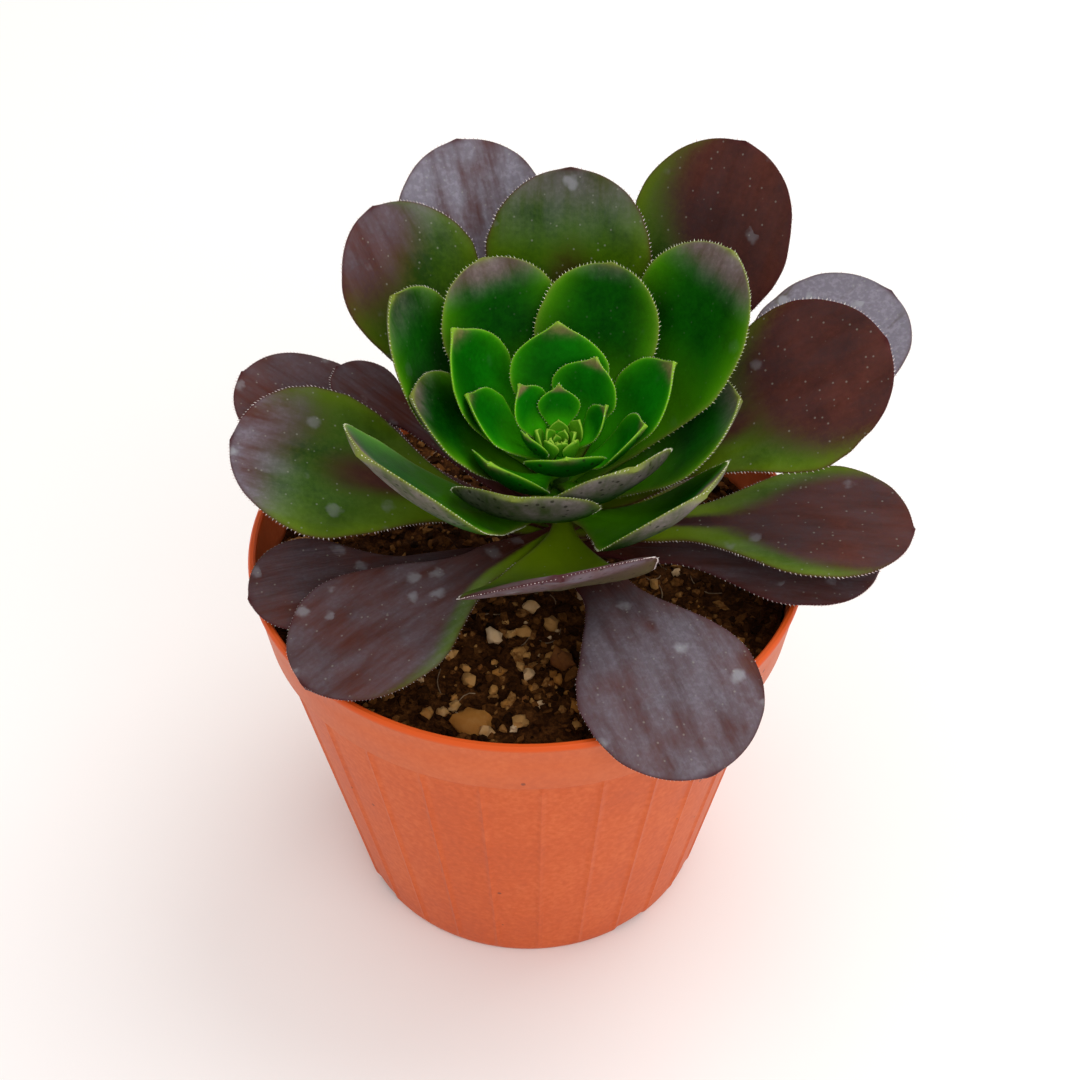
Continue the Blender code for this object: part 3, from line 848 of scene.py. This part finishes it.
def grow_leaf(name, leaf, rings, segments, seed):
    """Draw a ball out along the midrib: its south pole in the stem, its north pole the tip."""
    deselect_all()
    bpy.ops.mesh.primitive_uv_sphere_add(segments=segments, ring_count=rings, radius=1.0)
    piece = bpy.context.object
    piece.name = name
    mesh = piece.data
    rows = leaf_rows(leaf, rings)
    points = []
    skins = []
    along_leaf = []
    for vertex in mesh.vertices:
        number = round(acos(min(max(-vertex.co.z, -1.0), 1.0)) / pi * rings)
        turn = atan2(vertex.co.y, vertex.co.x)
        at_pole = number in (0, rings)
        across = 0.0 if at_pole else min(max(cos(turn), -1.0), 1.0)
        upper = sin(turn) > -1e-6
        points.append(leaf_point(leaf, rows[number], across, upper, seed))
        skins.append(leaf_skin_shares(leaf, rows[number][0], across, upper))
        on_leaf = max(rows[number][0], 0.0)
        off_midrib = across * leaf_half_width(leaf, on_leaf) / (leaf.width * MM)
        along_leaf.append((0.5 + off_midrib, on_leaf))
    mesh.vertices.foreach_set("co", np.array(points, np.float32).ravel())
    for layer, values in zip(skin_layers, np.array(skins, np.float32).T):
        made = mesh.attributes.new(layer, "FLOAT", "POINT")
        made.data.foreach_set("value", np.ascontiguousarray(values))
    corners = np.zeros(len(mesh.loops), np.int32)
    mesh.loops.foreach_get("vertex_index", corners)
    mesh.uv_layers.active.name = "along_the_leaf"
    corner_uvs = np.array(along_leaf, np.float32)[corners]
    mesh.uv_layers.active.data.foreach_set("uv", corner_uvs.ravel())
    bpy.ops.object.mode_set(mode="EDIT")
    bpy.ops.mesh.select_all(action="SELECT")
    bpy.ops.mesh.normals_make_consistent(inside=False)
    bpy.ops.object.mode_set(mode="OBJECT")
    return piece


def model_hair():
    """One margin hair about 1 m long: a thin cone, drawn in above its foot and bent over."""
    deselect_all()
    bpy.ops.mesh.primitive_cone_add(vertices=5, radius1=0.24, radius2=0.03, depth=1.0,
                                    location=(0.0, 0.0, 0.5))
    bpy.ops.object.transform_apply(location=True, rotation=True, scale=True)
    hair = bpy.context.object
    bpy.ops.object.mode_set(mode="EDIT")
    bpy.ops.mesh.select_all(action="SELECT")
    bpy.ops.mesh.bisect(plane_co=(0.0, 0.0, 0.45), plane_no=(0.0, 0.0, 1.0))
    bpy.ops.object.mode_set(mode="OBJECT")
    for vertex in hair.data.vertices:
        vertex.co.x += 0.35 * vertex.co.z ** 2
    return hair


hair_rows = 160
hairs_from = 0.2
hair_root_depth = 0.08 * MM


def grow_margin_hairs(name, leaf, seed, length, spacing):
    """A row of hairs round both edges of the leaf, from above the stalk to the tip."""
    rows = [row for row in leaf_rows(leaf, hair_rows) if row[0] > hairs_from]
    chance = Random(seed * 100)
    places = []
    for edge in (-1.0, 1.0):
        walked = 0.0
        points = [leaf_point(leaf, row, edge, True, seed) for row in rows]
        for here, after, row in zip(points, points[1:], rows):
            walked += (after - here).length
            if walked < spacing:
                continue
            walked = 0.0
            tangent = (after - here).normalized()
            outward = tangent.cross(row[4]) * -edge
            outward = (outward + tangent * chance.uniform(0.1, 0.6)
                       + row[4] * chance.uniform(-0.25, 0.25)).normalized()
            size = length * chance.uniform(0.7, 1.25)
            turned = outward.to_track_quat("Z", "Y").to_matrix().to_4x4()
            root = here - outward * hair_root_depth
            width = size * chance.uniform(0.8, 1.1)
            scale = Matrix.Diagonal((width, width, size, 1.0))
            places.append((Matrix.Translation(root) @ turned @ scale, chance.random()))
    return strew(name, model_hair(), places)


def grow_ring(kind, looks, leaves, skin, hair_look, first_seed, detail, hair_length,
              hair_spacing):
    """Every leaf of one ring with its margin hairs, each taking the place of its own node of the
    frame.
    """
    for number, leaf in enumerate(leaves, start=1):
        name = f"{looks}_{number:02d}"
        blade = grow_leaf(name, leaf, detail, detail, first_seed + number)
        finish_piece(blade, skin, [f"{kind}_{number:02d}"], smooth_angle=70.0)
        hairs = grow_margin_hairs(f"{name}_hairs", leaf, first_seed + number,
                                  hair_length * leaf.hair, hair_spacing)
        finish_piece(hairs, hair_look)


def leaf_skin(name, greens, light_green_and_glow, purples, bloom_colour, margin_and_glow_colour, under_colour,
              roughness, shine, dot_strength):
    """Waxy leaf skin: greens, purples, bloom with painted sheen, pale dots, a margin and the
    underside. The light green near the stalk and the young leaves' bright margins are partly
    painted glow.
    """
    material, tree, shader = new_material(name)
    place = object_place(tree)
    uv = add_node(tree, "ShaderNodeUVMap", {"uv_map": "along_the_leaf"}).outputs[0]
    share = {layer: add_node(tree, "ShaderNodeAttribute", {"attribute_name": layer})
             .outputs["Fac"] for layer in skin_layers}
    broad = cloud(tree, place, 75.0, 4.0, 0.6)
    flecks = cloud(tree, place, 1100.0, 3.0, 0.6)
    uneven = maths(tree, "ADD", times(tree, broad, 0.75),
                   times(tree, flecks, 0.25))
    ripeness = maths(tree, "ADD", share["purple"], maths(tree, "SUBTRACT", uneven, 0.50))
    green = ramp(tree, uneven, [(0.38, greens[0]), (0.62, greens[1])])
    # Light green near the stalk: partly the leaf's own paler base, partly painted glow of light
    # shining through the leaves.
    green = blend_colours(tree, times(tree, share["light"],
                                      maths(tree, "MULTIPLY_ADD", broad, 1.0, 0.30)),
                          green, (*light_green_and_glow, 1.0))
    purple = ramp(tree, uneven, [(0.36, purples[0]), (0.64, purples[1])])
    colour = blend_colours(tree, stretch(tree, ripeness, 0.15, 0.85), green, purple)
    colour = blend_colours(tree, times(tree, share["under"], 0.65), colour,
                           (*under_colour, 1.0))
    # The bloom: grey wax together with painted sheen, its pale frost colour standing partly for
    # the lights' shine on the leaves.
    brushed = add_node(tree, "ShaderNodeMapping", Vector=uv, Scale=(5.0, 2.0, 1.0))
    wax = maths(tree, "MULTIPLY_ADD", cloud(tree, brushed.outputs[0], 1.6, 4.0, 0.6), 0.5,
                times(tree, cloud(tree, place, 75.0, 4.0, 0.55), 0.5))
    frost = blend_colours(tree, stretch(tree, flecks, 0.42, 0.66), (*bloom_colour, 1.0),
                          (*[1.3 * part for part in bloom_colour], 1.0))
    bloom_and_sheen_share = times(tree, share["bloom"], stretch(tree, wax, 0.30, 0.66))
    colour = blend_colours(tree, bloom_and_sheen_share, colour, frost)
    wobble = add_node(tree, "ShaderNodeTexNoise", Vector=place, Scale=450.0, Detail=2.0)
    ragged = add_node(tree, "ShaderNodeVectorMath", {"operation": "MULTIPLY_ADD"},
                      i0=wobble.outputs["Color"], i1=(0.0025, 0.0025, 0.0025), i2=place)
    marks = add_node(tree, "ShaderNodeTexVoronoi", Vector=ragged.outputs[0], Scale=210.0)
    mark_pick = add_node(tree, "ShaderNodeSeparateColor", Color=marks.outputs["Color"])
    mark = times(tree, stretch(tree, marks.outputs["Distance"], 0.38, 0.14),
                 maths(tree, "GREATER_THAN", mark_pick.outputs["Red"], 0.85))
    mark = times(tree, mark,
                 times(tree, dot_strength,
                       maths(tree, "MULTIPLY_ADD", share["bloom"], 3.0, 0.8)))
    colour = blend_colours(tree, mark, colour, (0.30, 0.30, 0.33, 1.0))
    dots = add_node(tree, "ShaderNodeTexVoronoi", Vector=place, Scale=900.0)
    dot_pick = add_node(tree, "ShaderNodeSeparateColor", Color=dots.outputs["Color"])
    dot = times(tree, stretch(tree, dots.outputs["Distance"], 0.24, 0.10),
                maths(tree, "GREATER_THAN", dot_pick.outputs["Red"], 0.78))
    colour = blend_colours(tree, times(tree, dot, dot_strength),
                           colour, (0.42, 0.42, 0.36, 1.0))
    dark_dot = times(tree, stretch(tree, dots.outputs["Distance"], 0.42, 0.22),
                     maths(tree, "GREATER_THAN", dot_pick.outputs["Green"], 0.70))
    colour = blend_colours(tree, times(tree, dark_dot,
                                       times(tree, share["under"], 0.75)),
                           colour, (0.010, 0.010, 0.006, 1.0))
    # The coloured margin: the leaf's own edge colour, and on the half-grown and young leaves
    # partly painted glow of light through the thin edge.
    edge = times(tree, share["margin"],
                 maths(tree, "MULTIPLY_ADD", flecks, 0.5, 0.62))
    colour = blend_colours(tree, edge, colour, (*margin_and_glow_colour, 1.0))
    tree.links.new(colour, shader.inputs["Base Color"])
    creased = add_node(tree, "ShaderNodeMapping", Vector=uv, Scale=(26.0, 5.0, 1.0))
    creases = cloud(tree, creased.outputs[0], 1.0, 5.0, 0.6)
    relief = maths(tree, "ADD", times(tree, flecks, 0.12),
                   times(tree, creases,
                         maths(tree, "MULTIPLY_ADD", share["wrinkle"], 1.0, 0.10)))
    roughen(tree, shader, relief, 0.6, 0.6 * MM)
    tree.links.new(maths(tree, "ADD", times(tree, wax, 0.22),
                         maths(tree, "MULTIPLY_ADD", share["bloom"], 0.10, roughness - 0.11)),
                   shader.inputs["Roughness"])
    shader.inputs["Specular IOR Level"].default_value = shine
    shader.inputs["Subsurface Weight"].default_value = 0.05
    shader.inputs["Subsurface Radius"].default_value = (0.35, 1.0, 0.12)
    shader.inputs["Subsurface Scale"].default_value = 0.0015
    return material


def hair_skin(name, foot, end):
    material, tree, shader = new_material(name)
    tint = tint_of(tree)
    tree.links.new(ramp(tree, tint, [(0.0, foot), (1.0, end)]), shader.inputs["Base Color"])
    shader.inputs["Roughness"].default_value = 0.4
    return material


outer_leaves = (
    Leaf(-69, 80.0, 60, 32, 20, -20, cup=8, roll=4, sweep=4,
         green_to=-0.3, purple=0.92, rim=0.25, bloom=0.62, hair=0.5, wrinkle=1.0),
    Leaf(221, 83.9, 57, 30, 8, -10, cup=10,
         green_to=-0.1, purple=0.95, side=-3.2, rim=0.10, bloom=0.42, hair=0.55, wrinkle=0.6),
    Leaf(199, 78.3, 57, 22, 9, 2, roll=-8, green_to=-0.6, bloom=0.25, hair=0.6, wrinkle=1.0),
    Leaf(-11, 78.8, 55, 28, 10, 0, green_to=-0.4, bloom=0.35, wrinkle=0.3),
    Leaf(-9, 83.3, 61, 31, 13, 3, green_to=0.40, rim=0.50, streak=0.9, bloom=0.14),
    Leaf(33, 80.2, 78, 32, 15, 27, roll=8, green_to=0.05, purple=0.60, bloom=2.2),
    Leaf(6, 86.0, 65, 33, 35, 34, roll=24,
         green_to=0.55, side=0.2, rim=0.20, streak=0.8, bloom=0.06),
    Leaf(52, 83.8, 78, 34, 25, 58, bend_to=0.6, green_to=0.62, side=-1.2, bloom=0.06),
    Leaf(88, 88.5, 62, 31, 36, 66, bend_to=0.8,
         green_to=1.05, rim=0.3, streak=0.95, bloom=0.0, tip_bloom=0.5, light=0.45),
    Leaf(112, 81.5, 76, 31, 30, 54, bend_to=0.6, green_to=0.0, bloom=1.2),
    Leaf(136, 86.9, 65, 31, 30, 51, bend_to=0.6,
         green_to=0.80, side=0.6, rim=0.1, streak=0.8, bloom=0.02, tip_bloom=0.45, light=0.6),
    Leaf(161, 79.5, 66, 31, 14, 29, green_to=-0.1),
    Leaf(178, 82.1, 61, 33, 22, 18, roll=-14,
         green_to=0.84, side=-0.7, rim=0.20, streak=0.9, bloom=0.05, tip_bloom=0.95),
    Leaf(150, 84.4, 50, 14, 19, 22, green_to=0.0),
    Leaf(-92, 87.3, 48, 35, -4, 46, cup=4, roll=13, bend_from=0.1, bend_to=0.5,
         green_to=0.70, bloom=0.10, tip_bloom=0.4, under_bloom=0.7),
)
outer_skin = leaf_skin(
    "mature_leaf_skin",
    greens=((0.012, 0.042, 0.001), (0.045, 0.110, 0.001)),
    light_green_and_glow=(0.170, 0.270, 0.002),
    purples=((0.092, 0.027, 0.019), (0.036, 0.009, 0.005)),
    bloom_colour=(0.20, 0.185, 0.225), margin_and_glow_colour=(0.060, 0.012, 0.014),
    under_colour=(0.16, 0.080, 0.070), roughness=0.44, shine=0.03,
    dot_strength=0.26)
outer_hairs = hair_skin("pale_hair", (0.55, 0.42, 0.42), (0.85, 0.80, 0.76))
grow_ring("outer_leaf", "mature_leaf", [leaf._replace(paddle=True) for leaf in outer_leaves],
          outer_skin, outer_hairs, first_seed=0, detail=64,
          hair_length=0.42 * MM, hair_spacing=0.60 * MM)


# --------------------
# Middle leaves: shorter, upright and cupped round the heart. They are green to the shoulder,
# light green towards the stalk, partly painted glow of light through the leaf, with a grey-purple
# bloomed end that also carries painted sheen, and their undersides carry small dark glands.
# --------------------
middle_leaves = (
    Leaf(155, 90.4, 49, 26, 27, 69, cup=25, roll=4, bend_to=0.9, tip_bloom=0.35, side=0.8),
    Leaf(119, 92.4, 44, 26, 40, 62, cup=25, tip_bloom=0.85),
    Leaf(70, 94.5, 40, 24, 44, 60, cup=24, tip_bloom=0.30, tip_from=0.90),
    Leaf(32, 92.5, 53, 31, 33, 63, cup=22, bend_to=0.8, tip_bloom=0.90, side=-0.5),
    Leaf(2, 90.2, 37, 25, 30, 50, cup=25, tip_bloom=0.35),
    Leaf(-43, 88.8, 38, 30, 18, 58, cup=20, tip_bloom=0.70),
    Leaf(219, 90.0, 54, 31, 24, 58, cup=20, tip_bloom=0.70),
    Leaf(181, 93.2, 33, 24, 37, 50, cup=25, tip_bloom=0.60),
    Leaf(-60, 96.0, 29, 25, 22, 65, cup=25, tip_bloom=0.40),
    Leaf(-110, 94.0, 30, 27, 16, 62, cup=25, roll=8, tip_bloom=0.70),
)
middle_skin = leaf_skin(
    "half_grown_leaf_skin",
    greens=((0.001, 0.036, 0.001), (0.004, 0.085, 0.001)),
    light_green_and_glow=(0.100, 0.360, 0.002),
    purples=((0.090, 0.050, 0.024), (0.070, 0.032, 0.024)),
    bloom_colour=(0.21, 0.17, 0.175), margin_and_glow_colour=(0.19, 0.23, 0.035),
    under_colour=(0.015, 0.075, 0.003), roughness=0.42, shine=0.015,
    dot_strength=0.05)
middle_hairs = hair_skin("pale_green_hair", (0.45, 0.50, 0.25), (0.80, 0.80, 0.66))
cupped = [leaf._replace(green_to=1.35, bloom=0.0, under_bloom=0.85,
                        tip_from=max(leaf.tip_from, 0.82)) for leaf in middle_leaves]
grow_ring("middle_leaf", "half_grown_leaf", cupped, middle_skin, middle_hairs,
          first_seed=20, detail=56, hair_length=0.42 * MM, hair_spacing=0.60 * MM)


# --------------------
# Heart: small pointed leaves nearly closed over the growing tip, deep green with a bright thin
# margin, partly painted glow of light through the thin edge, and a brown-pink point.
# --------------------
inner_leaves = (
    Leaf(152, 96.0, 33, 19, 32, 68, bend_to=0.8),
    Leaf(92, 97.0, 26, 19, 50, 70),
    Leaf(18, 96.3, 28, 18, 38, 60),
    Leaf(174, 100.0, 20, 14, 31, 58),
    Leaf(230, 98.5, 22, 17, 15, 62),
    Leaf(-16, 99.5, 18, 14, 28, 60),
    Leaf(-85, 102.5, 14, 15, 10, 70),
    Leaf(57, 100.6, 18, 14, 47, 69),
    Leaf(146, 102.5, 13, 10, 48, 74),
    Leaf(90, 103.5, 10, 8, 55, 75),
    Leaf(12, 102.5, 11, 8, 38, 72),
    Leaf(219, 103.0, 9, 7.5, 35, 72),
)
inner_skin = leaf_skin(
    "young_leaf_skin",
    greens=((0.002, 0.080, 0.001), (0.004, 0.150, 0.002)),
    light_green_and_glow=(0.050, 0.420, 0.002),
    purples=((0.20, 0.10, 0.040), (0.30, 0.13, 0.085)),
    bloom_colour=(0.20, 0.13, 0.09), margin_and_glow_colour=(0.26, 0.50, 0.030),
    under_colour=(0.006, 0.110, 0.003), roughness=0.40, shine=0.015,
    dot_strength=0.03)
pointed = [leaf._replace(cup=30, green_to=1.6, bloom=0.0, tip_bloom=0.45, tip_from=0.88,
                         point=0.6, margin=0.03 + 0.008 * leaf.length, spike=0.9,
                         tip_width=0.15) for leaf in inner_leaves]
grow_ring("inner_leaf", "young_leaf", pointed, inner_skin, middle_hairs,
          first_seed=40, detail=48, hair_length=0.26 * MM, hair_spacing=0.55 * MM)


# --------------------
# Growing tip: the newest leaves, a few millimetres long, folded over one another in a pale
# yellow-green bud at the top of the stem.
# --------------------
bud_low, bud_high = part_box("growing_tip")
bud_skin = leaf_skin(
    "bud_skin",
    greens=((0.060, 0.260, 0.006), (0.120, 0.340, 0.010)),
    light_green_and_glow=(0.16, 0.40, 0.015),
    purples=((0.30, 0.42, 0.05), (0.34, 0.38, 0.07)),
    bloom_colour=(0.35, 0.50, 0.15), margin_and_glow_colour=(0.36, 0.56, 0.06),
    under_colour=(0.10, 0.32, 0.01), roughness=0.40, shine=0.08,
    dot_strength=0.03)
bud_leaves = []
for number in range(13):
    size = 1.0 - number / 17.0
    leaf = Leaf(40 + 137.5 * number, bud_low.z / MM + 0.3 + 0.20 * number, 7.0 * size,
                5.0 * size, 56 + 2.0 * number, 84, cup=42, point=0.6, start=2.2 * size,
                green_to=1.6, bloom=0.0, margin=0.07)
    bud_leaves.append(grow_leaf(f"bud_leaf_{number}", leaf, rings=24, segments=24,
                                seed=60 + number))
bud = join_pieces("bud", bud_leaves)
finish_piece(bud, bud_skin, ["growing_tip"], smooth_angle=70.0)
